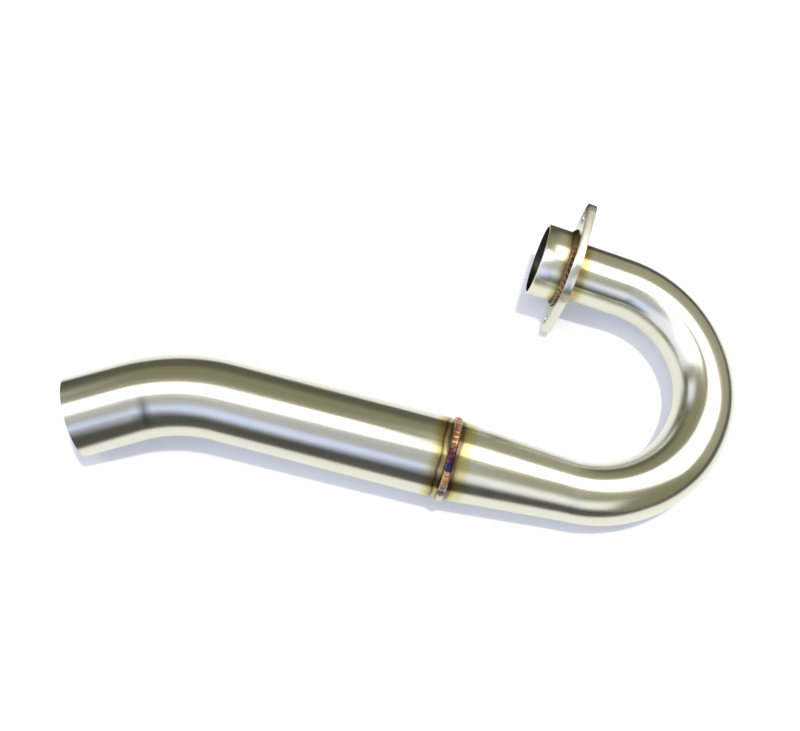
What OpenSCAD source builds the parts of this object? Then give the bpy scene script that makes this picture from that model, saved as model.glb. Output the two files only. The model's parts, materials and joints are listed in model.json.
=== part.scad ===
// Single-cylinder motorcycle exhaust header: a U-bent head pipe with a formed taper, a larger
// rear pipe butt-welded to it, and a turned port collar welded to a two-bolt flange.
// Millimetres, +Z up. The part lies on its side, as it comes to rest on a bench.
// The origin is the middle of the flange's engine face.

/* [Head pipe] */
// Outside diameter of the head pipe
head_d = 41.3; // [34:0.1:46]
// Wall of the head pipe and its taper
head_wall = 1.2; // [0.8:0.1:2.5]
// Straight run between the flange and the first bend
port_run = 37; // [15:1:90]
// Centreline radius of the first bend
bend_1_r = 74; // [60:0.5:110]
// Angle of the first bend
bend_1_a = 100; // [75:1:112]
// Centreline radius of the second bend
bend_2_r = 79.5; // [60:0.5:110]
// Angle of the second bend
bend_2_a = 77; // [60:1:90]
// Straight run between the two bends
mid_run = 3; // [1:0.5:40]
// Twist of the second bend's plane about the pipe
bend_twist = 3.5; // [-12:0.5:12]
// Length of the taper from the head pipe's size to the rear pipe's
taper_l = 80; // [50:1:130]
// Step that the bending die leaves in the wall at each end of a bend
die_step = 0.05; // [0.04:0.01:0.12]

/* [Rear pipe] */
// Outside diameter of the rear pipe
rear_d = 54; // [48:0.5:60]
// Wall of the rear pipe
rear_wall = 1.2; // [0.8:0.1:2.5]
// Straight run from the joint to the rear bend
rear_run = 151; // [80:1:220]
// Centreline radius of the rear bend
rear_bend_r = 119; // [80:1:200]
// Angle of the rear bend
rear_bend_a = 30; // [10:1:45]
// Twist of the rear bend's plane about the pipe
rear_twist = -23; // [-35:1:30]
// Straight stub at the outlet, which takes the silencer's sleeve
stub_l = 38; // [25:1:80]
// Width of the deburred edge inside the outlet
outlet_edge = 0.4; // [0.1:0.1:0.6]

/* [Port collar] */
// Outside diameter of the turned collar
collar_d = 51.5; // [49:0.5:56]
// Wall of the collar
collar_wall = 1.6; // [1.2:0.1:2.5]
// Length of the collar from the flange's engine face to its mouth
collar_l = 20; // [12:1:30]
// Thickness of the web at the root of the collar
collar_web = 4; // [2:0.5:6]
// Chamfer on the mouth of the collar
collar_edge = 0.5; // [0.2:0.1:0.7]

/* [Flange] */
// Thickness of the flange plate
flange_t = 6; // [4:0.5:10]
// Radius of the round middle of the flange
flange_r = 34.5; // [31.5:0.5:38]
// Radius of each ear
ear_r = 10; // [8.5:0.5:14]
// Distance between the two stud holes
stud_span = 76; // [72:1:90]
// Diameter of the stud holes
stud_hole_d = 9; // [6.5:0.5:10.5]
// Turn of the ears about the pipe, from the plane of the first bend
ear_turn = 39; // [-90:1:90]
// Radial clearance between the head pipe and what it passes through
pipe_clear = 0.15; // [0.05:0.05:0.3]

/* [Welds] */
// Gap that the middle weld fills between the two pipe ends
root_gap = 1.6; // [0.8:0.2:3]
// Width of the middle weld's cap
bead_w = 5.2; // [4:0.2:8]
// Height of the middle weld's cap over the pipe
bead_h = 1.1; // [0.6:0.1:2]
// Number of ripples around the middle weld
bead_ripples = 46; // [30:1:60]
// Depth of a ripple, as a share of the cap's height
ripple_depth = 0.34; // [0.1:0.02:0.6]
// Leg of the fillet weld between the collar and the flange
fillet_leg = 3; // [2:0.2:4]
// Number of ripples around the fillet weld
fillet_ripples = 42; // [30:1:60]

/* [Hidden] */
$fn = 96;

head_r = head_d / 2;
rear_r = rear_d / 2;
collar_r = collar_d / 2;
pipe_bore_r = head_r + pipe_clear;
pipe_end_x = -collar_web;
ear_x = stud_span / 2;
flank_inset = 0.15;
die_lap = 0.3;

// Weld beads: the cap starts at its edge and skirt, and each ripple lags and falls away as given
bead_seat = 0.01;
bead_edge = 0.1;
bead_skirt = 0.25;
bead_lag = 0.55;
bead_fall = 1.6;
fillet_throat = 0.74;
samples_per_ripple = 3;
bead_steps = 8;
bead_top_r = rear_r + bead_seat + bead_edge + bead_skirt + bead_h;

// The route as a chain of frames. In each, X is the way of travel away from the engine and
// a bend curves towards -Y.
function shift(x, y = 0, z = 0) = [[1, 0, 0, x], [0, 1, 0, y], [0, 0, 1, z], [0, 0, 0, 1]];
function turn_x(a) = [[1, 0, 0, 0], [0, cos(a), -sin(a), 0], [0, sin(a), cos(a), 0], [0, 0, 0, 1]];
function turn_z(a) = [[cos(a), -sin(a), 0, 0], [sin(a), cos(a), 0, 0], [0, 0, 1, 0], [0, 0, 0, 1]];
function along_bend(r, a) = shift(r * sin(a), -r * (1 - cos(a))) * turn_z(-a);
function place(frame) = [frame[0][3], frame[1][3], frame[2][3]];
function way(frame) = [frame[0][0], frame[1][0], frame[2][0]];

bend_1_start = shift(flange_t + port_run);
mid_start = bend_1_start * along_bend(bend_1_r, bend_1_a);
bend_2_start = mid_start * shift(mid_run) * turn_x(bend_twist);
taper_start = bend_2_start * along_bend(bend_2_r, bend_2_a);
taper_end = taper_start * shift(taper_l);
rear_start = taper_end * shift(root_gap);
rear_bend_start = rear_start * shift(rear_run) * turn_x(rear_twist);
stub_start = rear_bend_start * along_bend(-rear_bend_r, -rear_bend_a);
outlet = stub_start * shift(stub_l);

// At rest the part stands on three places: the outlet's rim, the lowest arc of the flange and
// the lowest place between them, on the U or the middle weld. The floor is the plane that
// touches a circle about each. A station is a centre and its radius.
bend_stations = 16;
settling_tries = 5;
middle_stations = [
    for (k = [0:1:bend_stations])
        [place(bend_1_start * along_bend(bend_1_r, bend_1_a * k / bend_stations)), head_r],
    for (k = [0:1:bend_stations])
        [place(bend_2_start * along_bend(bend_2_r, bend_2_a * k / bend_stations)), head_r],
    [place(taper_end * shift(root_gap / 2)), bead_top_r]
];
function flange_stations(up) = [
    for (arc = [[0, flange_r], [ear_x, ear_r], [-ear_x, ear_r]])
        [[up.x < 0 ? flange_t : 0, arc[0] * cos(ear_turn), arc[0] * sin(ear_turn)],
            arc[1] * across(up, [1, 0, 0])]
];
function lowest(stations, up) =
    let (heights = [for (p = stations) p[0] * up - p[1]])
    stations[search(min(heights), heights)[0]];
function touching_plane(c, s) =
    let (u = c[1] - c[0])
    let (v = c[2] - c[0])
    let (w = cross(u, v))
    let (m = ((s[1] - s[0]) * cross(v, w) + (s[2] - s[0]) * cross(w, u)) / (w * w))
    m + sign(w.z) * w / norm(w) * sqrt(1 - m * m);
function across(up, axis) = sqrt(1 - pow(up * axis, 2));
function settled(up, tries) =
    let (middle = lowest(middle_stations, up))
    let (plate = lowest(flange_stations(up), up))
    tries == 0 ? up : settled(touching_plane(
        [place(outlet), middle[0], plate[0]],
        [rear_r * across(up, way(outlet)), middle[1], plate[1]]), tries - 1);

up = settled([0, 0, 1], settling_tries);
back = -way(rear_start);
x_axis = (back - (back * up) * up) / norm(back - (back * up) * up);
y_axis = cross(up, x_axis);

module at_rest() {
    multmatrix([x_axis, y_axis, up]) children();
}

// Pieces of pipe, each drawn in its own frame of the chain. A straight piece laps a little into
// the bend beside it, whose wall is thinner by the die's step on both sides.
module wall_ring(r, wall) {
    difference() {
        circle(r);
        circle(r - wall);
    }
}

module straight(l, r, wall) {
    rotate([0, 90, 0]) linear_extrude(l) wall_ring(r, wall);
}

module bend(bend_r, a, r, wall) {
    translate([0, -bend_r, 0]) rotate([0, 0, 90 - a])
        rotate_extrude(angle = a, $fn = 180) translate([bend_r, 0])
            wall_ring(r - die_step, wall - 2 * die_step);
}

module taper(l, r_from, r_to, wall) {
    rotate([0, 90, 0]) rotate_extrude() polygon([
        [r_from - wall, -die_lap], [r_from, -die_lap], [r_from, 0],
        [r_to, l], [r_to - wall, l], [r_from - wall, 0]
    ]);
}

module head_pipe() {
    color("#b9b6ac") at_rest() {
        translate([pipe_end_x, 0, 0])
            straight(flange_t + port_run - pipe_end_x + die_lap, head_r, head_wall);
        multmatrix(bend_1_start) bend(bend_1_r, bend_1_a, head_r, head_wall);
        multmatrix(mid_start) translate([-die_lap, 0, 0])
            straight(mid_run + 2 * die_lap, head_r, head_wall);
        multmatrix(bend_2_start) bend(bend_2_r, bend_2_a, head_r, head_wall);
        multmatrix(taper_start) taper(taper_l, head_r, rear_r, head_wall);
    }
}

module outlet_stub() {
    inner_r = rear_r - rear_wall;
    rotate([0, 90, 0]) rotate_extrude() polygon([
        [inner_r, -die_lap], [rear_r, -die_lap], [rear_r, stub_l],
        [inner_r + outlet_edge, stub_l], [inner_r, stub_l - outlet_edge]
    ]);
}

module rear_pipe() {
    color("#b5b2a8") at_rest() {
        multmatrix(rear_start) straight(rear_run + die_lap, rear_r, rear_wall);
        multmatrix(rear_bend_start) mirror([0, 1, 0])
            bend(rear_bend_r, rear_bend_a, rear_r, rear_wall);
        multmatrix(stub_start) outlet_stub();
    }
}

// The collar is turned from bar: a thin sleeve that enters the port, with a web at its root
// that the head pipe ends in.
module port_collar() {
    inner_r = collar_r - collar_wall;
    color("#d2cfc8") at_rest() rotate([0, 90, 0]) rotate_extrude() polygon([
        [pipe_bore_r, -collar_web], [pipe_bore_r, 0], [collar_r, 0],
        [collar_r, -collar_l + collar_edge], [collar_r - collar_edge, -collar_l],
        [inner_r, -collar_l], [inner_r, -collar_web]
    ]);
}

// Two-bolt outline: a round middle and two ears, joined by straight flanks. Each flank runs a
// little inside the line that is tangent to both circles.
module flange_outline() {
    lean = asin((flange_r - ear_r) / ear_x);
    mid_r = flange_r - flank_inset;
    end_r = ear_r - flank_inset;
    circle(flange_r);
    for (side = [-1, 1]) translate([side * ear_x, 0]) circle(ear_r);
    polygon([
        for (corner = [[1, 1], [-1, 1], [-1, -1], [1, -1]])
            let (tip = [corner.x * (ear_x + end_r * sin(lean)), corner.y * end_r * cos(lean)])
            let (mid = [corner.x * mid_r * sin(lean), corner.y * mid_r * cos(lean)])
            each (corner.x * corner.y > 0 ? [tip, mid] : [mid, tip])
    ]);
}

module port_flange() {
    color("#a9a69c") at_rest() rotate([ear_turn, 0, 0]) rotate([90, 0, 90])
        linear_extrude(flange_t) difference() {
            flange_outline();
            circle(pipe_bore_r);
            for (side = [-1, 1]) translate([side * ear_x, 0]) circle(d = stud_hole_d);
        }
}

// A laid bead: each ripple is a crescent that trails behind its middle, like a row of scales.
// s runs across the bead from -1 to 1 and a is the angle around the pipe.
function ripple(a, s, count) =
    let (phase = a / 360 * count - bead_lag * s * s)
    1 - ripple_depth * pow(phase - floor(phase), bead_fall);
function crown(s) = sqrt(max(0, 1 - s * s));

// Faces of a ring whose cross-sections have n points each.
function ring_faces(rings, n) = [
    for (i = [0:1:rings - 1]) for (j = [0:1:n - 1])
        let (a = i * n, b = ((i + 1) % rings) * n, k = (j + 1) % n)
        each [[a + j, b + j, a + k], [a + k, b + j, b + k]]
];

module bead_ring(count, section) {
    rings = count * samples_per_ripple;
    rows = [for (i = [0:1:rings - 1]) section(i * 360 / rings)];
    polyhedron(
        [for (i = [0:1:rings - 1]) for (p = rows[i])
            [p.x, p.y * cos(i * 360 / rings), p.y * sin(i * 360 / rings)]],
        ring_faces(rings, len(rows[0])));
}

// The butt weld: a root between the pipe ends and a rippled cap over them.
module mid_weld() {
    seat_r = rear_r + bead_seat;
    section = function (a) [
        for (j = [0:1:bead_steps])
            let (s = -1 + 2 * j / bead_steps)
            let (rise = crown(s) * (bead_skirt + bead_h * ripple(a, s, bead_ripples)))
            [s * bead_w / 2, seat_r + bead_edge + rise],
        [bead_w / 2, seat_r], [root_gap / 2, seat_r], [root_gap / 2, rear_r - rear_wall],
        [-root_gap / 2, rear_r - rear_wall], [-root_gap / 2, seat_r], [-bead_w / 2, seat_r]
    ];
    color("#b0703c") at_rest() multmatrix(taper_end * shift(root_gap / 2))
        bead_ring(bead_ripples, section);
}

// The fillet weld in the corner between the collar and the flange's engine face.
module collar_weld() {
    seat_r = collar_r + bead_seat;
    section = function (a) [
        [0, seat_r],
        for (j = [0:1:bead_steps])
            let (s = -1 + 2 * j / bead_steps)
            let (turn = 45 * (1 + s))
            let (bulge = fillet_throat + (1 - fillet_throat) * abs(s))
            let (reach = fillet_leg * bulge * ripple(a, s, fillet_ripples))
            [-reach * sin(turn), seat_r + reach * cos(turn)]
    ];
    color("#c09a5a") at_rest() bead_ring(fillet_ripples, section);
}

head_pipe();
rear_pipe();
port_collar();
port_flange();
mid_weld();
collar_weld();
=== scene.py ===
# Look of the motorcycle exhaust header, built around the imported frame. Lengths are in metres.
import json
import math

import bpy
from mathutils import Matrix, Vector


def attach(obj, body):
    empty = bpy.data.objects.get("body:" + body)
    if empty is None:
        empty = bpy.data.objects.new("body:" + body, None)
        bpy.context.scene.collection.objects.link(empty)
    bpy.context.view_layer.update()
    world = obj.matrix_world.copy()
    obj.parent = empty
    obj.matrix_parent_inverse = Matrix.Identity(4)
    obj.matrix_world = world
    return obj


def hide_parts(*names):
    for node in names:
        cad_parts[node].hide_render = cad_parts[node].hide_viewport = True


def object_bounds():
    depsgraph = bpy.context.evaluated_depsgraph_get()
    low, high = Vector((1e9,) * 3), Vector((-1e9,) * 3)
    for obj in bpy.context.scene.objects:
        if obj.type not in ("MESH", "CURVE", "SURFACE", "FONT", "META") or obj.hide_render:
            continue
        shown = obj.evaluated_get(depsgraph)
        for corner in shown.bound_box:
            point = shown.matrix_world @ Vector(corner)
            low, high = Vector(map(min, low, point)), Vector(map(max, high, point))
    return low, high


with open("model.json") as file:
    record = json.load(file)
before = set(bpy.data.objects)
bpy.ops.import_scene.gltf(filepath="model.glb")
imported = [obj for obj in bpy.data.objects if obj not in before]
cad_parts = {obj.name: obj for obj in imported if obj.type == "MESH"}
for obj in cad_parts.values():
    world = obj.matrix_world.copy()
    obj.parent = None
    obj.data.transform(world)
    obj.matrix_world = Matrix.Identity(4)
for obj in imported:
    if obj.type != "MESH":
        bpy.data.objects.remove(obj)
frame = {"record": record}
cad_low, cad_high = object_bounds()
MOUNTS = {m["name"]: m for m in frame["record"]["mounts"]}

# Sizes of the pipes, the same as the frame's
HEAD_R = 0.02065
HEAD_WALL = 0.0012
PORT_RUN = 0.037
BEND_1_R = 0.074
BEND_1_A = 100
MID_RUN = 0.003
BEND_TWIST = 3.5
BEND_2_R = 0.0795
BEND_2_A = 77
TAPER_L = 0.080
REAR_R = 0.027
REAR_WALL = 0.0012
REAR_RUN = 0.151
REAR_TWIST = -23
REAR_BEND_R = 0.119
REAR_BEND_A = 30
STUB_L = 0.038
OUTLET_EDGE = 0.0004
ROOT_GAP = 0.0016

# A tube that is bent over a die keeps its size on the straights and loses a little in the bends
DIE_STEP = 0.00005
DIE_BLEND = 0.0015

# Sizes of the collar and the flange
COLLAR_R = 0.02575
COLLAR_WALL = 0.0016
COLLAR_L = 0.020
COLLAR_WEB = 0.004
COLLAR_CHAMFER = 0.0005
PIPE_CLEARANCE = 0.00015
PIPE_BORE_R = HEAD_R + PIPE_CLEARANCE
FLANGE_T = 0.006
FLANGE_R = 0.0345
EAR_R = 0.010
EAR_TURN = 39
STUD_SPAN = 0.076
STUD_HOLE_R = 0.0045
BROKEN_EDGE = 0.0003

# Sizes of the welds
BEAD_W = 0.0052
BEAD_H = 0.0011
BEAD_SKIRT = 0.00025
BEAD_LIP = 0.0001
BEAD_SEAT = 0.00001
BEAD_RIPPLES = 46
FILLET_LEG = 0.003
FILLET_THROAT = 0.74
FILLET_RIPPLES = 42
RIPPLE_DEPTH = 0.34
RIPPLE_TRAIL = 0.55
RIPPLE_SLOPE = 1.6

# How finely the pieces are drawn, with the bends' step in degrees
PIPE_SIDES = 144
COLLAR_SIDES = 192
BEND_STEP = 1.5
RIPPLE_STEPS = 10
BEAD_STEPS = 20


# The route as a chain of frames, X along the pipe and every bend curving towards -Y
def shift(x, y=0.0, z=0.0):
    return Matrix.Translation((x, y, z))


def turn(degrees, axis):
    return Matrix.Rotation(math.radians(degrees), 4, axis)


def along_bend(radius, degrees):
    a = math.radians(degrees)
    return shift(radius * math.sin(a), -radius * (1 - math.cos(a))) @ turn(-degrees, "Z")


def arc_length(radius, degrees):
    return abs(radius * math.radians(degrees))


bend_1_start = shift(FLANGE_T + PORT_RUN)
mid_start = bend_1_start @ along_bend(BEND_1_R, BEND_1_A)
bend_2_start = mid_start @ shift(MID_RUN) @ turn(BEND_TWIST, "X")
taper_start = bend_2_start @ along_bend(BEND_2_R, BEND_2_A)
taper_end = taper_start @ shift(TAPER_L)
weld_middle = taper_end @ shift(ROOT_GAP / 2)
rear_start = taper_end @ shift(ROOT_GAP)
rear_bend_start = rear_start @ shift(REAR_RUN) @ turn(REAR_TWIST, "X")
stub_start = rear_bend_start @ along_bend(-REAR_BEND_R, -REAR_BEND_A)

# Distance along the route, from the flange's engine face
S_BEND_1 = FLANGE_T + PORT_RUN
S_MID = S_BEND_1 + arc_length(BEND_1_R, BEND_1_A)
S_BEND_2 = S_MID + MID_RUN
S_TAPER = S_BEND_2 + arc_length(BEND_2_R, BEND_2_A)
S_WELD = S_TAPER + TAPER_L
S_REAR = S_WELD + ROOT_GAP
S_REAR_BEND = S_REAR + REAR_RUN
S_STUB = S_REAR_BEND + arc_length(REAR_BEND_R, REAR_BEND_A)


# The way the part lies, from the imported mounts: the port's axis and the middle of the outlet stub
def basis(a, b):
    """An orthonormal frame whose X lies along a and whose XY plane holds b."""
    x = a.normalized()
    y = (b - b.dot(x) * x).normalized()
    return Matrix((x, y, x.cross(y))).transposed()


port_way = -Vector(MOUNTS["port_mouth"]["axis"])
stub_place = Vector(MOUNTS["outlet"]["pos_m"])
local_stub = (stub_start @ shift(STUB_L / 2)).translation
AT_REST = (basis(port_way, stub_place) @ basis(Vector((1, 0, 0)), local_stub).transposed()).to_4x4()


# Meshes
def add_object(name, data):
    """A new object in the scene."""
    item = bpy.data.objects.new(name, data)
    bpy.context.scene.collection.objects.link(item)
    return item


def enclosed(points, faces):
    """Six times the volume inside the faces: negative where they face inwards."""
    total = 0.0
    for first, *others in faces:
        for b, c in zip(others, others[1:]):
            total += points[first].dot(points[b].cross(points[c]))
    return total


def mesh_object(name, points, faces, smooth_angle=35):
    """A smooth-shaded piece, its faces turned outwards."""
    points = [Vector(p) for p in points]
    if enclosed(points, faces) < 0:
        faces = [tuple(reversed(face)) for face in faces]
    mesh = bpy.data.meshes.new(name)
    mesh.from_pydata(points, [], faces)
    mesh.validate()
    mesh.shade_smooth()
    mesh.set_sharp_from_angle(angle=math.radians(smooth_angle))
    return add_object(name, mesh)


def pipe_coordinates(piece, values):
    """Stores where each vertex lies on its pipe: across, across and along."""
    layer = piece.data.attributes.new("pipe", "FLOAT_VECTOR", "POINT")
    for item, value in zip(layer.data, values):
        item.vector = value


def ring_faces(rings, sides):
    """The faces between each ring of points and the next, the last ring joined to the first."""
    faces = []
    for i in range(rings):
        first = i * sides
        second = ((i + 1) % rings) * sides
        for k in range(sides):
            n = (k + 1) % sides
            faces.append((first + k, second + k, second + n, first + n))
    return faces


# Pipes
def straight_rows(start, length, along, steps, radius_from, radius_to=None):
    """Rows along a straight or a taper, as (frame, radius, distance along)."""
    radius_to = radius_from if radius_to is None else radius_to
    rows = []
    for k in range(steps + 1):
        t = k / steps
        radius = radius_from + (radius_to - radius_from) * t
        rows.append((start @ shift(length * t), radius, along + length * t))
    return rows


def bend_rows(start, bend_r, degrees, along, radius):
    """Rows inside a bend, with the die's step eased in at both ends. A negative radius and angle bend
    the other way."""
    steps = max(4, round(abs(degrees) / BEND_STEP))
    length = arc_length(bend_r, degrees)
    rows = []
    for k in range(steps + 1):
        t = k / steps
        eased = min(1.0, min(t, 1 - t) * length / DIE_BLEND)
        bent_r = radius - DIE_STEP * eased
        rows.append((start @ along_bend(bend_r, degrees * t), bent_r, along + length * t))
    return rows


def joined(*runs):
    """Rows of several runs, each without the row that repeats the last one's end."""
    rows = list(runs[0])
    for run in runs[1:]:
        rows += run[1:]
    return rows


def shell_rows(rows, wall, edge=0.0):
    """The outside rows and, coming back, the inside rows, with the far inner edge broken by edge."""
    inside = [(f, r - wall, s) for f, r, s in reversed(rows)]
    if edge:
        last_frame, last_r, last_s = inside[0]
        inside[0] = (last_frame, last_r + edge, last_s)
        inside.insert(1, (last_frame @ shift(-edge), last_r, last_s - edge))
    return rows + inside


def swept(name, rows, sides=PIPE_SIDES):
    """A closed shell swept along rows that run out along the outside and come back along the
    inside. It doesn't twist where the frames do."""
    points = []
    where = []
    guide = None
    for row_frame, radius, along in rows:
        y_way, z_way = row_frame.col[1].to_3d(), row_frame.col[2].to_3d()
        spin = math.atan2(guide.dot(z_way), guide.dot(y_way)) if guide else 0.0
        guide = y_way * math.cos(spin) + z_way * math.sin(spin)
        for k in range(sides):
            a = 2 * math.pi * k / sides
            points.append(row_frame @ Vector((0, radius * math.cos(a + spin), radius * math.sin(a + spin))))
            where.append((radius * math.cos(a), radius * math.sin(a), along))
    piece = mesh_object(name, points, ring_faces(len(rows), sides))
    pipe_coordinates(piece, where)
    return piece


def make_head_pipe():
    rows = joined(
        straight_rows(shift(-COLLAR_WEB), COLLAR_WEB + S_BEND_1, -COLLAR_WEB, 12, HEAD_R),
        bend_rows(bend_1_start, BEND_1_R, BEND_1_A, S_BEND_1, HEAD_R),
        straight_rows(mid_start, MID_RUN, S_MID, 2, HEAD_R),
        bend_rows(bend_2_start, BEND_2_R, BEND_2_A, S_BEND_2, HEAD_R),
        straight_rows(taper_start, TAPER_L, S_TAPER, 16, HEAD_R, REAR_R),
    )
    return swept("head_pipe_skin", shell_rows(rows, HEAD_WALL))


def make_rear_pipe():
    rows = joined(
        straight_rows(rear_start, REAR_RUN, S_REAR, 20, REAR_R),
        bend_rows(rear_bend_start, -REAR_BEND_R, -REAR_BEND_A, S_REAR_BEND, REAR_R),
        straight_rows(stub_start, STUB_L, S_STUB, 8, REAR_R),
    )
    return swept("rear_pipe_skin", shell_rows(rows, REAR_WALL, edge=OUTLET_EDGE))


# Collar and flange
def make_collar():
    """The turned sleeve, its mouth chamfered, with the web that the head pipe ends in."""
    inner_r = COLLAR_R - COLLAR_WALL
    chamfer = COLLAR_CHAMFER
    soft = 0.00012
    bore_edge = 0.0001
    corner = 0.001
    profile = [
        (-COLLAR_WEB, PIPE_BORE_R), (-bore_edge, PIPE_BORE_R), (0, PIPE_BORE_R + bore_edge),
        (0, COLLAR_R - soft), (-soft, COLLAR_R), (-COLLAR_L / 2, COLLAR_R),
        (-COLLAR_L + chamfer + soft, COLLAR_R), (-COLLAR_L + chamfer - soft, COLLAR_R - soft),
        (-COLLAR_L + soft, COLLAR_R - chamfer + soft), (-COLLAR_L, COLLAR_R - chamfer - soft),
        (-COLLAR_L, inner_r + soft), (-COLLAR_L + soft, inner_r), (-COLLAR_WEB - corner, inner_r),
        (-COLLAR_WEB - 0.3 * corner, inner_r - 0.2 * corner), (-COLLAR_WEB, inner_r - corner),
    ]
    return swept("port_collar_skin", [(shift(x), r, x) for x, r in profile], COLLAR_SIDES)


def circle_points(x, y, radius, count, first=0.0, sweep=360.0):
    """Points on a circle, or on an arc with both its ends, from an angle on."""
    points = []
    for k in range(count if sweep == 360.0 else count + 1):
        angle = math.radians(first + sweep * k / count)
        points.append((x + radius * math.cos(angle), y + radius * math.sin(angle)))
    return points


def flange_loops():
    """The outline of the plate and its three holes, with the ears along X."""
    ear_x = STUD_SPAN / 2
    lean = math.degrees(math.asin((FLANGE_R - EAR_R) / ear_x))
    side = 90 - lean
    outline = (
        circle_points(ear_x, 0, EAR_R, 40, -side, 2 * side)
        + circle_points(0, 0, FLANGE_R, 16, side, 2 * lean)
        + circle_points(-ear_x, 0, EAR_R, 40, 180 - side, 2 * side)
        + circle_points(0, 0, FLANGE_R, 16, 180 + side, 2 * lean)
    )
    stud_holes = [circle_points(s * ear_x, 0, STUD_HOLE_R, 64) for s in (-1, 1)]
    return [outline, circle_points(0, 0, PIPE_BORE_R, 128)] + stud_holes


def make_flange():
    """The two-ear plate, cut from sheet, with its edges lightly broken."""
    curve = bpy.data.curves.new("port_flange_skin", "CURVE")
    curve.dimensions = "2D"
    curve.fill_mode = "BOTH"
    for loop in flange_loops():
        spline = curve.splines.new("POLY")
        spline.points.add(len(loop) - 1)
        for point, (x, y) in zip(spline.points, loop):
            point.co = (x, y, 0, 1)
        spline.use_cyclic_u = True
    curve.extrude = FLANGE_T / 2 - BROKEN_EDGE
    curve.bevel_depth = BROKEN_EDGE
    curve.bevel_resolution = 2
    curve.offset = -BROKEN_EDGE
    drawn = add_object("flange_drawing", curve)
    mesh = bpy.data.meshes.new_from_object(drawn.evaluated_get(bpy.context.evaluated_depsgraph_get()))
    bpy.data.objects.remove(drawn)
    bpy.data.curves.remove(curve)
    up_on_edge = Matrix(((0, 0, 1, 0), (1, 0, 0, 0), (0, 1, 0, 0), (0, 0, 0, 1)))
    mesh.transform(shift(FLANGE_T / 2) @ turn(EAR_TURN, "X") @ up_on_edge)
    mesh.name = "port_flange_skin"
    mesh.shade_smooth()
    mesh.set_sharp_from_angle(angle=math.radians(30))
    piece = add_object("port_flange_skin", mesh)
    pipe_coordinates(piece, [(v.co.y, v.co.z, v.co.x) for v in mesh.vertices])
    return piece


# Weld beads: each ripple is a crescent that trails behind its middle, like a row of scales
ACROSS_BEAD = [-1 + 2 * j / BEAD_STEPS for j in range(BEAD_STEPS + 1)]


def ripple(turns, s, count):
    """How much of its height a bead keeps at a share of a turn, s of the way from its middle."""
    phase = turns * count - RIPPLE_TRAIL * s * s
    return 1 - RIPPLE_DEPTH * (phase - math.floor(phase)) ** RIPPLE_SLOPE


def mid_section(turns):
    """The cap of the butt weld and its root between the pipe ends, as a loop of (x, radius)."""
    seat_r = REAR_R + BEAD_SEAT
    root_r = REAR_R - REAR_WALL
    loop = []
    for s in ACROSS_BEAD:
        crown = math.sqrt(max(0.0, 1 - s * s))
        rise = crown * (BEAD_SKIRT + BEAD_H * ripple(turns, s, BEAD_RIPPLES))
        loop.append((s * BEAD_W / 2, seat_r + BEAD_LIP + rise))
    return loop + [(BEAD_W / 2, seat_r), (ROOT_GAP / 2, seat_r), (ROOT_GAP / 2, root_r),
                   (-ROOT_GAP / 2, root_r), (-ROOT_GAP / 2, seat_r), (-BEAD_W / 2, seat_r)]


def fillet_section(turns):
    """The fillet in the corner between the collar and the flange, as a loop of (x, radius)."""
    seat_r = COLLAR_R + BEAD_SEAT
    loop = [(0, seat_r)]
    for s in ACROSS_BEAD:
        angle = math.radians(45 * (1 + s))
        hollow = FILLET_THROAT + (1 - FILLET_THROAT) * abs(s)
        reach = FILLET_LEG * hollow * ripple(turns, s, FILLET_RIPPLES)
        loop.append((-reach * math.sin(angle), seat_r + reach * math.cos(angle)))
    return loop


def bead_ring(name, start, ripples, section):
    """A ring about the X of start, whose section changes with the share of a turn."""
    rings = ripples * RIPPLE_STEPS
    points = []
    where = []
    for i in range(rings):
        a = 2 * math.pi * i / rings
        loop = section(i / rings)
        for x, radius in loop:
            y = radius * math.cos(a)
            z = radius * math.sin(a)
            points.append(start @ Vector((x, y, z)))
            where.append((y, z, x))
    piece = mesh_object(name, points, ring_faces(rings, len(loop)), smooth_angle=60)
    pipe_coordinates(piece, where)
    return piece


def make_mid_weld():
    return bead_ring("mid_weld_bead", weld_middle, BEAD_RIPPLES, mid_section)


def make_collar_weld():
    return bead_ring("collar_weld_bead", Matrix.Identity(4), FILLET_RIPPLES, fillet_section)


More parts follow.
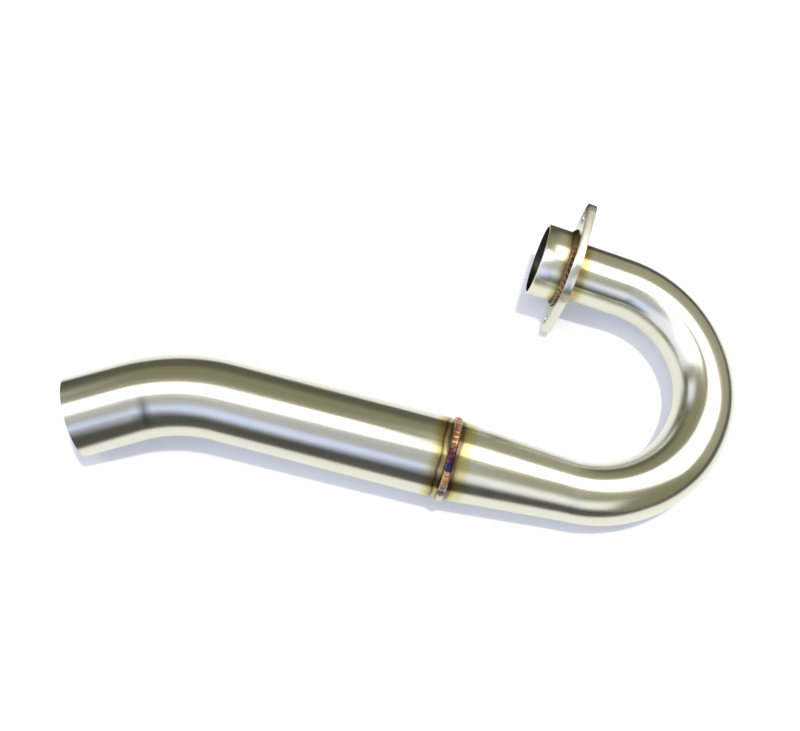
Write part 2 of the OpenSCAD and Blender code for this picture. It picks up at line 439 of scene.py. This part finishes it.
# Shader helpers
class Nodes:
    """A short way to write the nodes of a material, or of a world."""

    def __init__(self, owner, output="ShaderNodeOutputMaterial"):
        self.owner = owner
        owner.use_nodes = True
        self.tree = owner.node_tree
        self.tree.nodes.clear()
        self.output = self.add(output)

    def add(self, kind, **settings):
        node = self.tree.nodes.new(kind)
        for key, value in settings.items():
            setattr(node, key, value)
        return node

    def link(self, source, target):
        self.tree.links.new(source, target)

    def value(self, socket, source):
        if isinstance(source, (int, float, tuple)):
            socket.default_value = source
        else:
            self.link(source, socket)

    def math(self, operation, a, b=0.0, clamp=False):
        node = self.add("ShaderNodeMath", operation=operation, use_clamp=clamp)
        self.value(node.inputs[0], a)
        self.value(node.inputs[1], b)
        return node.outputs[0]

    def length(self, a, b):
        """The length of the flat vector (a, b)."""
        return self.math("SQRT", self.math("ADD", self.math("MULTIPLY", a, a), self.math("MULTIPLY", b, b)))

    def split(self, vector):
        """The three parts of a vector."""
        node = self.add("ShaderNodeSeparateXYZ")
        self.link(vector, node.inputs[0])
        return node.outputs

    def mix(self, factor, a, b):
        node = self.add("ShaderNodeMix", data_type="RGBA", blend_type="MIX")
        self.value(node.inputs[0], factor)
        self.value(node.inputs[6], a)
        self.value(node.inputs[7], b)
        return node.outputs[2]

    def ramp(self, factor, stops):
        node = self.add("ShaderNodeValToRGB")
        elements = node.color_ramp.elements
        while len(elements) < len(stops):
            elements.new(0.5)
        for element, (position, color) in zip(elements, stops):
            element.position = position
            element.color = color
        self.link(factor, node.inputs[0])
        return node.outputs[0]

    def stretched_noise(self, vector, scale, detail=3.0, roughness=0.55):
        """Noise on the pipe's own coordinates, with a scale for each of across, across and along."""
        mapping = self.add("ShaderNodeMapping")
        mapping.inputs["Scale"].default_value = scale
        self.link(vector, mapping.inputs["Vector"])
        noise = self.add("ShaderNodeTexNoise")
        noise.inputs["Scale"].default_value = 1.0
        noise.inputs["Detail"].default_value = detail
        noise.inputs["Roughness"].default_value = roughness
        self.link(mapping.outputs[0], noise.inputs["Vector"])
        return noise.outputs["Fac"]

    def remap(self, factor, low, high, out_low=0.0, out_high=1.0):
        """The factor's run from low to high turned into one from out_low to out_high, and held there."""
        node = self.add("ShaderNodeMapRange")
        self.value(node.inputs[0], factor)
        for socket, value in zip(node.inputs[1:5], (low, high, out_low, out_high)):
            socket.default_value = value
        return node.outputs[0]

    def inside(self, value, low, high, soft):
        """1 where the value lies between low and high, falling off over soft on both sides."""
        return self.math("MULTIPLY", self.remap(value, low - soft, low),
                         self.remap(value, high, high + soft, 1.0, 0.0))

    def metal(self, colour, roughness, height=None, strength=0.0, distance=0.0):
        """Ends the material as bare metal, with a fine relief where a height is given."""
        shader = self.add("ShaderNodeBsdfPrincipled")
        shader.inputs["Metallic"].default_value = 1.0
        self.link(colour, shader.inputs["Base Color"])
        self.link(roughness, shader.inputs["Roughness"])
        if height is not None:
            bump = self.add("ShaderNodeBump")
            bump.inputs["Strength"].default_value = strength
            bump.inputs["Distance"].default_value = distance
            self.link(height, bump.inputs["Height"])
            self.link(bump.outputs[0], shader.inputs["Normal"])
        self.link(shader.outputs[0], self.output.inputs[0])
        return self.owner

    def diffuse(self, colour):
        """A matt surface of one colour."""
        shader = self.add("ShaderNodeBsdfDiffuse")
        shader.inputs["Color"].default_value = colour
        return shader.outputs[0]


# Colours of the metal, of its heat tints and of the oxide on the beads
STEEL = (0.65, 0.647, 0.585, 1)
STREAKED_STEEL = tuple(0.90 * c for c in STEEL[:3]) + (1,)
CLOUDED_STEEL = (0.60, 0.56, 0.49, 1)
RING_STEEL = (0.68, 0.67, 0.60, 1)
DARK_RING_STEEL = (0.60, 0.59, 0.52, 1)
CUT_STEEL = (0.64, 0.63, 0.57, 1)
DARK_CUT_STEEL = (0.58, 0.57, 0.51, 1)
BROWN = (0.40, 0.25, 0.11, 1)
DARK_BROWN = (0.13, 0.085, 0.05, 1)
VIOLET = (0.06, 0.015, 0.04, 1)
BLUE = (0.03, 0.045, 0.14, 1)
COPPER = (0.66, 0.36, 0.22, 1)
GOLD = (0.68, 0.38, 0.09, 1)
PALE = (0.60, 0.54, 0.55, 1)
OLIVE_GOLD = (0.36, 0.29, 0.10, 1)
GREEN_GOLD = (0.53, 0.48, 0.21, 1)
# Dark colour inside the bores
BORE_DARK = (0.16, 0.15, 0.13, 1)
# Painted shade for the crease at the start of the outlet bend
PAINTED_CREASE_SHADE = (0.19, 0.19, 0.185, 1)

# Heat colours from a weld outwards, as (metres, colour), and how strongly they cover the steel
HEAD_TINT = [(0.0, DARK_BROWN), (0.0048, DARK_BROWN), (0.0058, OLIVE_GOLD), (0.0085, GREEN_GOLD),
             (0.0125, GREEN_GOLD), (0.0170, STEEL)]
REAR_TINT = [(0.0, DARK_BROWN), (0.0033, DARK_BROWN), (0.0040, OLIVE_GOLD), (0.0056, OLIVE_GOLD),
             (0.0062, DARK_BROWN), (0.0072, DARK_BROWN), (0.0080, OLIVE_GOLD), (0.0125, GREEN_GOLD),
             (0.0170, STEEL)]
PORT_TINT = [(0.0, DARK_BROWN), (0.0020, BROWN), (0.0050, OLIVE_GOLD), (0.0080, GREEN_GOLD),
             (0.012, STEEL)]
COLLAR_TINT = [(0.0, DARK_BROWN), (0.0032, DARK_BROWN), (0.0042, OLIVE_GOLD), (0.0065, GREEN_GOLD),
               (0.0090, STEEL)]
WELD_COVER = 0.95
PORT_COVER = 0.9
COLLAR_COVER = 0.85

# How far back each bead's colours are turned, so that their first half lies on the side seen
VIEW_TURN = math.radians(24)

# Oxide colours round a bead, as (share of a turn, colour)
MID_OXIDE = [(0.0, COPPER), (0.165, COPPER), (0.19, DARK_BROWN), (0.215, VIOLET), (0.25, VIOLET),
             (0.265, BLUE), (0.285, BLUE), (0.295, GOLD), (0.315, COPPER), (0.335, GOLD), (0.35, PALE),
             (0.37, PALE), (0.385, VIOLET), (0.41, PALE), (0.52, GOLD), (0.66, COPPER), (0.75, VIOLET),
             (0.84, GOLD), (1.0, COPPER)]
FILLET_OXIDE = [(0.0, DARK_BROWN), (0.07, DARK_BROWN), (0.12, OLIVE_GOLD), (0.17, BROWN),
                (0.25, DARK_BROWN), (0.36, BROWN), (0.44, DARK_BROWN), (0.52, OLIVE_GOLD),
                (0.66, BROWN), (0.82, DARK_BROWN), (1.0, DARK_BROWN)]

# Scales of the noises, each for across, across and along
BRUSHING = (1500, 1500, 14)
STREAKS = (160, 160, 7)
CLOUDS = (35, 35, 25)
TURNING = (4, 4, 5200)
GRAIN = (900, 900, 900)
TINT_WAVER = (60, 60, 40)
OXIDE_DRIFT = (260, 260, 420)

# Parts of a noise's range that are spread out to the whole, for a colour and for a roughness
COLOUR_SPREAD = (0.3, 0.7)
ROUGH_SPREAD = (0.25, 0.75)

# How far the noises move the edges of the heat colours, in metres, and of the oxide, in turns
TINT_WANDER = 0.006
OXIDE_WANDER = 0.07

# Darkening in the bores: the width of its edge, and how much rougher it makes the metal
BORE_DARK_EDGE = 0.0001
BORE_ROUGHNESS = 0.25

# Warmth on the flange between two distances from the pipe's middle, and darkness at a bead's edge
WARM_RING = (0.026, 0.034)
WARMTH = 0.45
BEAD_EDGE = (0.0017, 0.0026)
EDGE_DARKNESS = 0.75

# Painted shade for the crease at the start of the outlet bend: its distance along, its place and its extent
CREASE_ALONG = 0.5640
CREASE_PLACE = Vector((-0.2437, -0.185, 0.019))
CREASE_HALF_WIDTH = 0.0055
CREASE_REACH = 0.014
CREASE_STRENGTH = 0.85


# Materials
def pipe_position(n):
    """The pipe coordinates: as a vector, as the distance from the middle line and as that along it."""
    vector = n.add("ShaderNodeAttribute", attribute_name="pipe").outputs["Vector"]
    across, also_across, along = n.split(vector)
    return vector, n.length(across, also_across), along


def heat_tinted(n, vector, along, colour, place, stops, strength, hold=0.55):
    """The colour under the heat colours of a weld at place, their edge made uneven. They cover it by
    strength up to a share of their reach, hold, and fade over the rest."""
    reach = stops[-1][0]
    waver = n.stretched_noise(vector, TINT_WAVER, detail=2.0)
    wander = n.math("MULTIPLY", n.math("SUBTRACT", waver, 0.5), TINT_WANDER)
    distance = n.math("ADD", n.math("ABSOLUTE", n.math("SUBTRACT", along, place)), wander)
    share = n.math("DIVIDE", distance, reach, clamp=True)
    cover = n.math("MULTIPLY", n.remap(share, hold, 1.0, 1.0, 0.0), strength)
    return n.mix(cover, colour, n.ramp(share, [(d / reach, c) for d, c in stops]))


def in_bore(n, from_middle, bore):
    """1 nearer the middle line than the bore's radius."""
    return n.remap(from_middle, bore - BORE_DARK_EDGE, bore, 1.0, 0.0)


def painted_crease_shade(n, along):
    """How strongly the painted crease shade shows: on a line across the tube, fading off round its place.
    """
    from_line = n.math("ABSOLUTE", n.math("SUBTRACT", along, CREASE_ALONG))
    away = n.add("ShaderNodeVectorMath", operation="DISTANCE")
    n.link(n.add("ShaderNodeTexCoord").outputs["Object"], away.inputs[0])
    away.inputs[1].default_value = CREASE_PLACE
    across = n.remap(from_line, 0.0, CREASE_HALF_WIDTH, 1.0, 0.0)
    round_about = n.remap(away.outputs["Value"], CREASE_REACH / 4, CREASE_REACH, 1.0, 0.0)
    return n.math("MULTIPLY", n.math("MULTIPLY", across, round_about), CREASE_STRENGTH)


def brushed_steel(name, bore, tints, crease_shaded=False):
    """Satin stainless steel, brushed along the pipe, with heat colours beside the welds, each given
    as (place, stops, strength). It is dull and dark inside the bore."""
    n = Nodes(bpy.data.materials.new(name))
    vector, from_middle, along = pipe_position(n)
    brushing = n.stretched_noise(vector, BRUSHING, detail=4.0)
    streaks = n.stretched_noise(vector, STREAKS, detail=2.0)
    clouds = n.stretched_noise(vector, CLOUDS)
    colour = n.mix(n.remap(streaks, *COLOUR_SPREAD), STEEL, STREAKED_STEEL)
    colour = n.mix(n.remap(clouds, 0.35, 0.7, 0.0, 0.5), colour, CLOUDED_STEEL)
    for place, stops, strength in tints:
        colour = heat_tinted(n, vector, along, colour, place, stops, strength)
    # Painted shade: the crease at the start of the outlet bend is darkened in the colour, and the pipe has
    # no dent there
    if crease_shaded:
        colour = n.mix(painted_crease_shade(n, along), colour, PAINTED_CREASE_SHADE)
    inner = in_bore(n, from_middle, bore)
    colour = n.mix(inner, colour, BORE_DARK)
    satin = n.remap(brushing, *ROUGH_SPREAD, 0.15, 0.27)
    rough = n.math("ADD", satin, n.math("MULTIPLY", inner, BORE_ROUGHNESS))
    return n.metal(colour, rough, brushing, strength=0.35, distance=0.00002)


def turned_steel():
    """Bright turned steel: fine rings round the collar, gold towards the fillet weld."""
    n = Nodes(bpy.data.materials.new("turned_steel"))
    vector, from_middle, along = pipe_position(n)
    rings = n.stretched_noise(vector, TURNING)
    colour = n.mix(n.remap(rings, *COLOUR_SPREAD), RING_STEEL, DARK_RING_STEEL)
    colour = heat_tinted(n, vector, along, colour, 0.0, COLLAR_TINT, COLLAR_COVER, hold=0.5)
    colour = n.mix(in_bore(n, from_middle, COLLAR_R - COLLAR_WALL + BORE_DARK_EDGE), colour, BORE_DARK)
    rough = n.remap(rings, *ROUGH_SPREAD, 0.18, 0.30)
    return n.metal(colour, rough, rings, strength=0.3, distance=0.00002)


def plate_steel():
    """Cut and polished plate, with the heat of the fillet weld round its middle."""
    n = Nodes(bpy.data.materials.new("plate_steel"))
    vector, from_middle, _ = pipe_position(n)
    grain = n.stretched_noise(vector, GRAIN, detail=4.0)
    colour = n.mix(n.remap(grain, *COLOUR_SPREAD), CUT_STEEL, DARK_CUT_STEEL)
    colour = n.mix(n.remap(from_middle, *WARM_RING, WARMTH, 0.0), colour, OLIVE_GOLD)
    rough = n.remap(grain, *ROUGH_SPREAD, 0.20, 0.30)
    return n.metal(colour, rough, grain, strength=0.2, distance=0.00003)


def weld_metal(name, oxide, middle):
    """A laid bead whose oxide changes colour with the angle about middle, darker at its edges."""
    n = Nodes(bpy.data.materials.new(name))
    vector, _, along = pipe_position(n)
    _, y, z = n.split(n.add("ShaderNodeTexCoord").outputs["Object"])
    angle = n.math("ARCTAN2", n.math("SUBTRACT", z, middle.z), n.math("SUBTRACT", y, middle.y))
    turns = n.math("DIVIDE", n.math("SUBTRACT", angle, VIEW_TURN), math.tau)
    drift = n.stretched_noise(vector, OXIDE_DRIFT, roughness=0.6)
    wander = n.math("MULTIPLY", n.math("SUBTRACT", drift, 0.5), OXIDE_WANDER)
    colour = n.ramp(n.math("FRACT", n.math("ADD", turns, wander)), oxide)
    specks = n.stretched_noise(vector, GRAIN, detail=2.0)
    colour = n.mix(n.remap(specks, 0.50, 0.75, 0.0, 0.5), colour, DARK_BROWN)
    colour = n.mix(n.remap(n.math("ABSOLUTE", along), *BEAD_EDGE, 0.0, EDGE_DARKNESS), colour, DARK_BROWN)
    return n.metal(colour, n.remap(specks, 0.2, 0.8, 0.24, 0.42))


# The pieces
def dress(piece, node, material):
    piece.data.transform(AT_REST)
    piece.data.materials.append(material)
    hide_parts(node)
    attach(piece, "root")


weld_line = S_WELD + ROOT_GAP / 2
head_tints = [(weld_line, HEAD_TINT, WELD_COVER), (FLANGE_T, PORT_TINT, PORT_COVER)]
rear_tints = [(weld_line, REAR_TINT, WELD_COVER)]
head_steel = brushed_steel("head_steel", HEAD_R - HEAD_WALL / 2, head_tints)
rear_steel = brushed_steel("rear_steel", REAR_R - REAR_WALL / 2, rear_tints, crease_shaded=True)
mid_oxide = weld_metal("mid_oxide", MID_OXIDE, AT_REST @ weld_middle.to_translation())
fillet_oxide = weld_metal("fillet_oxide", FILLET_OXIDE, Vector())
dress(make_head_pipe(), "head_pipe", head_steel)
dress(make_rear_pipe(), "rear_pipe", rear_steel)
dress(make_collar(), "port_collar", turned_steel())
dress(make_flange(), "port_flange", plate_steel())
dress(make_mid_weld(), "mid_weld", mid_oxide)
dress(make_collar_weld(), "collar_weld", fillet_oxide)

# Floor
FLOOR_HALF = 3.0
FLOOR_GAP = 0.0002
FLOOR_COLOUR = (0.42, 0.42, 0.42, 1)
FLOOR_GLOW_COLOUR = (0.73, 0.78, 1.0, 1)
FLOOR_GLOW = 0.39
WHITE_GLOW = 1.5
WHITE_FROM = 0.5
WHITE_BY = 1.3

# Paper and bench that the steel mirrors in place of the floor, laid as (from, to, softness)
PAPER_X = (-0.38, 0.20, 0.02)
PAPER_Y = (-0.25, 0.06, 0.02)
PAPER_COLOUR = (0.94, 1.03, 0.98, 1)
PAPER_GLOW = 0.42
BENCH_COLOUR = (0.055, 0.055, 0.05, 1)

# Lights
SOFT_HEIGHT = 0.87
SOFT_RADIANCE = 3.0
SOFT_COLOUR = (1, 0.99, 0.97)
KEY_STRENGTH = 2.8
KEY_WIDTH = math.radians(3)
KEY_COLOUR = (1, 0.97, 0.86)
KEY_FROM = (0.13, 0.0, 1.0)

# Colours of the studio that the steel mirrors
FAR_DARK = (0.15, 0.145, 0.095, 1)
FAR_OLIVE = (0.33, 0.32, 0.20, 1)
FAR_RIGHT = (0.50, 0.485, 0.35, 1)
NEAR_DARK = (0.10, 0.105, 0.095, 1)
NEAR_GREY = (0.64, 0.655, 0.67, 1)
PALE_LINE = (1.05, 1.18, 1.65, 1)
CREAM = (1.45, 1.45, 1.35, 1)
WINDOW = (1.30, 1.36, 1.50, 1)
WHITE = (1.0, 1.0, 1.0, 1)

# Edges in the studio, as the runs of a ray's own x, y or z over which one colour gives way
FAR_UP_Z = (0.30, 0.50)
FAR_RIGHT_X = (0.05, 0.20)
NEAR_TO_FAR_Y = (-0.15, 0.05)
NEAR_LEFT_Z = [(0.12, NEAR_DARK), (0.38, PALE_LINE), (0.56, PALE_LINE), (0.70, NEAR_GREY)]
NEAR_RIGHT_Z = [(0.14, NEAR_DARK), (0.34, CREAM), (0.60, CREAM), (0.74, FAR_RIGHT)]
NEAR_LEFT_TO_RIGHT_X = (0.16, 0.28)
NEAR_RIGHT_END_X = (0.52, 0.62)
NEAR_WINDOW_X = (-0.40, -0.22)
FAR_WINDOW_X = (-0.76, -0.64)
GAP_TOP_Z = (0.36, 0.52)
GAP_DARKNESS = 0.8

# Patches in the studio, as (from, to, softness of both edges)
GAP_X = (0.04, 0.15, 0.06)
FAR_WINDOW_Y = (0.22, 0.44, 0.08)
FAR_WINDOW_Z = (0.28, 0.80, 0.06)

# Camera, from a fit to the part's outline in the photograph, its angles in degrees
IMAGE_WIDTH = 800
CAMERA_ANGLES = (-8.12, 65.69, 6.012)
CAMERA_AIM = (-0.095296, -0.098194, -0.010)
CAMERA_DISTANCE = 0.77708
CAMERA_FOCAL_PIXELS = 1137.875


# The stage
def floor_material():
    """To the camera the floor glows, more with the distance, so that it is white all round. The
    steel mirrors it as a sheet of glowing paper on a dark bench."""
    n = Nodes(bpy.data.materials.new("floor"))
    path = n.add("ShaderNodeLightPath").outputs
    x, y, _ = n.split(n.add("ShaderNodeNewGeometry").outputs["Position"])
    paper = n.math("MULTIPLY", n.inside(x, *PAPER_X), n.inside(y, *PAPER_Y))
    paper_glow = n.math("MULTIPLY", n.math("MULTIPLY", path["Is Glossy Ray"], paper), PAPER_GLOW)
    white_out = n.remap(n.length(x, y), WHITE_FROM, WHITE_BY, FLOOR_GLOW, WHITE_GLOW)
    floor_glow = n.math("MULTIPLY", path["Is Camera Ray"], white_out)
    glow = n.add("ShaderNodeEmission")
    n.link(n.mix(path["Is Camera Ray"], PAPER_COLOUR, FLOOR_GLOW_COLOUR), glow.inputs["Color"])
    n.link(n.math("ADD", floor_glow, paper_glow), glow.inputs["Strength"])
    lit = n.add("ShaderNodeAddShader")
    n.link(n.diffuse(FLOOR_COLOUR), lit.inputs[0])
    n.link(glow.outputs[0], lit.inputs[1])
    bench = n.math("MULTIPLY", path["Is Glossy Ray"], n.math("SUBTRACT", 1.0, paper))
    surface = n.add("ShaderNodeMixShader")
    n.link(bench, surface.inputs[0])
    n.link(lit.outputs[0], surface.inputs[1])
    n.link(n.diffuse(BENCH_COLOUR), surface.inputs[2])
    n.link(surface.outputs[0], n.output.inputs[0])
    return n.owner


def make_floor():
    """A pale floor just under the part's lowest point."""
    z = cad_low.z - FLOOR_GAP
    corners = [(a * FLOOR_HALF, b * FLOOR_HALF, z) for a, b in ((-1, -1), (1, -1), (1, 1), (-1, 1))]
    mesh = bpy.data.meshes.new("floor")
    mesh.from_pydata(corners, [], [(0, 1, 2, 3)])
    mesh.materials.append(floor_material())
    floor = add_object("floor", mesh)


def soft_box(name, place, width, depth, swing=0):
    """A soft light that faces straight down, swung about the vertical by some degrees."""
    data = bpy.data.lights.new(name, "AREA")
    data.shape = "RECTANGLE"
    data.size = width
    data.size_y = depth
    data.energy = SOFT_RADIANCE * math.pi * width * depth
    data.color = SOFT_COLOUR
    light = add_object(name, data)
    light.location = (*place, SOFT_HEIGHT)
    light.rotation_euler = (0, 0, math.radians(swing))


def key_light():
    """A small lamp nearly straight above, for the crisp edge of the shadow. The steel doesn't
    mirror it."""
    data = bpy.data.lights.new("key", "SUN")
    data.energy = KEY_STRENGTH
    data.angle = KEY_WIDTH
    data.color = KEY_COLOUR
    light = add_object("key", data)
    light.rotation_euler = Vector(KEY_FROM).to_track_quat("Z", "Y").to_euler()
    light.visible_glossy = False


def make_world():
    """A dim studio by the way (x, y, z) a ray goes, with y to the far side and z up. It is olive and
    dark on the far side, with a window at the left. On the near side a grey wall has a pale line low
    down, a dark gap at its right and a window at its left, and a cream wall stands to the right of
    it. The camera itself sees white."""
    world = bpy.data.worlds.new("studio")
    bpy.context.scene.world = world
    n = Nodes(world, "ShaderNodeOutputWorld")
    x, y, z = n.split(n.add("ShaderNodeTexCoord").outputs["Generated"])
    far = n.mix(n.remap(z, *FAR_UP_Z), FAR_DARK, FAR_OLIVE)
    far = n.mix(n.remap(x, *FAR_RIGHT_X), far, FAR_RIGHT)
    gap = n.math("MULTIPLY", n.inside(x, *GAP_X), n.remap(z, *GAP_TOP_Z, GAP_DARKNESS, 0.0))
    near_left = n.mix(gap, n.ramp(z, NEAR_LEFT_Z), NEAR_DARK)
    near_left = n.mix(n.remap(x, *NEAR_WINDOW_X, 1.0, 0.0), near_left, WINDOW)
    near_right = n.mix(n.remap(x, *NEAR_RIGHT_END_X), n.ramp(z, NEAR_RIGHT_Z), FAR_OLIVE)
    near = n.mix(n.remap(x, *NEAR_LEFT_TO_RIGHT_X), near_left, near_right)
    colour = n.mix(n.remap(y, *NEAR_TO_FAR_Y), near, far)
    window = n.math("MULTIPLY", n.remap(x, *FAR_WINDOW_X, 1.0, 0.0), n.inside(z, *FAR_WINDOW_Z))
    window = n.math("MULTIPLY", window, n.inside(y, *FAR_WINDOW_Y))
    colour = n.mix(window, colour, WINDOW)
    colour = n.mix(n.add("ShaderNodeLightPath").outputs["Is Camera Ray"], colour, WHITE)
    background = n.add("ShaderNodeBackground")
    n.link(colour, background.inputs[0])
    n.link(background.outputs[0], n.output.inputs[0])


def make_camera():
    """The photograph's view. Its angles are azimuth, elevation and roll."""
    azimuth, elevation, roll = (math.radians(v) for v in CAMERA_ANGLES)
    forward = Vector((math.sin(azimuth) * math.cos(elevation), math.cos(azimuth) * math.cos(elevation),
                      -math.sin(elevation)))
    right = Vector((math.cos(azimuth), -math.sin(azimuth), 0))
    up = right.cross(forward)
    side = right * math.cos(roll) + up * math.sin(roll)
    top = up * math.cos(roll) - right * math.sin(roll)
    data = bpy.data.cameras.new("camera")
    data.sensor_width = 36.0
    data.lens = CAMERA_FOCAL_PIXELS * data.sensor_width / IMAGE_WIDTH
    data.clip_start = 0.01
    data.clip_end = 20
    camera = add_object("camera", data)
    place = Vector(CAMERA_AIM) - forward * CAMERA_DISTANCE
    camera.matrix_world = shift(*place) @ Matrix((side, top, -forward)).transposed().to_4x4()
    bpy.context.scene.camera = camera


make_world()
make_floor()
soft_box("overhead", (-0.570, -0.292), 1.235, 0.44, swing=20)
soft_box("far_right", (0.675, 0.17), 1.13, 0.68)
key_light()
make_camera()
bpy.context.scene.view_settings.view_transform = "Standard"
